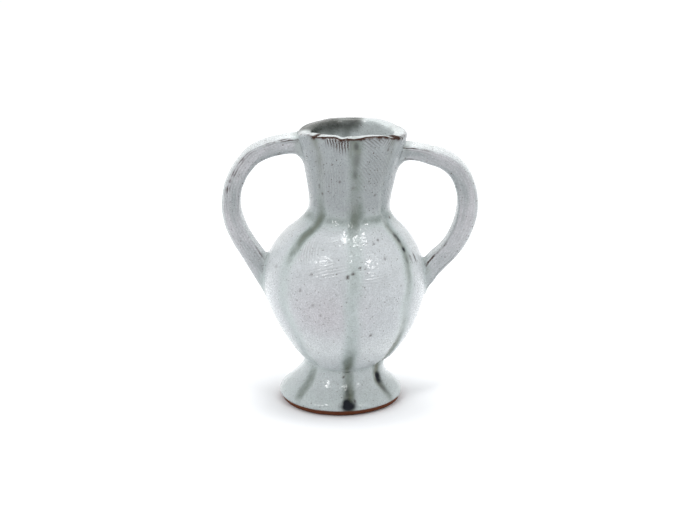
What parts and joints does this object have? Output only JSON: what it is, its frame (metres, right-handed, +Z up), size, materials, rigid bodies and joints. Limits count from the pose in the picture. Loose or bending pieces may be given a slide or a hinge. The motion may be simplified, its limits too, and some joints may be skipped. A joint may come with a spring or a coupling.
{
  "type": "two-handled vase",
  "caption": "Small glazed stoneware vase with a hollow pedestal foot, egg-shaped grooved body, flaring neck and two looped strap handles.",
  "frame": {"origin": "on the ground under the middle of the vase's box, half way between the outer sides of its two handles", "axes": "+Z up, X through both handles, -Y the side with the groove drawn down its middle"},
  "size_m": [0.0548, 0.0352, 0.06],
  "materials": {
    "glazed_stoneware": "glossy",
    "fired_slip": "matte"
  },
  "bodies": {
    "root": {"foot": "glazed_stoneware", "body": "glazed_stoneware", "neck": "glazed_stoneware", "handle_left": "glazed_stoneware", "handle_right": "glazed_stoneware", "foot_slip": "fired_slip", "neck_slip": "fired_slip", "handle_left_top_slip": "fired_slip", "handle_left_foot_slip": "fired_slip", "handle_right_top_slip": "fired_slip", "handle_right_foot_slip": "fired_slip"}
  },
  "joints": []
}
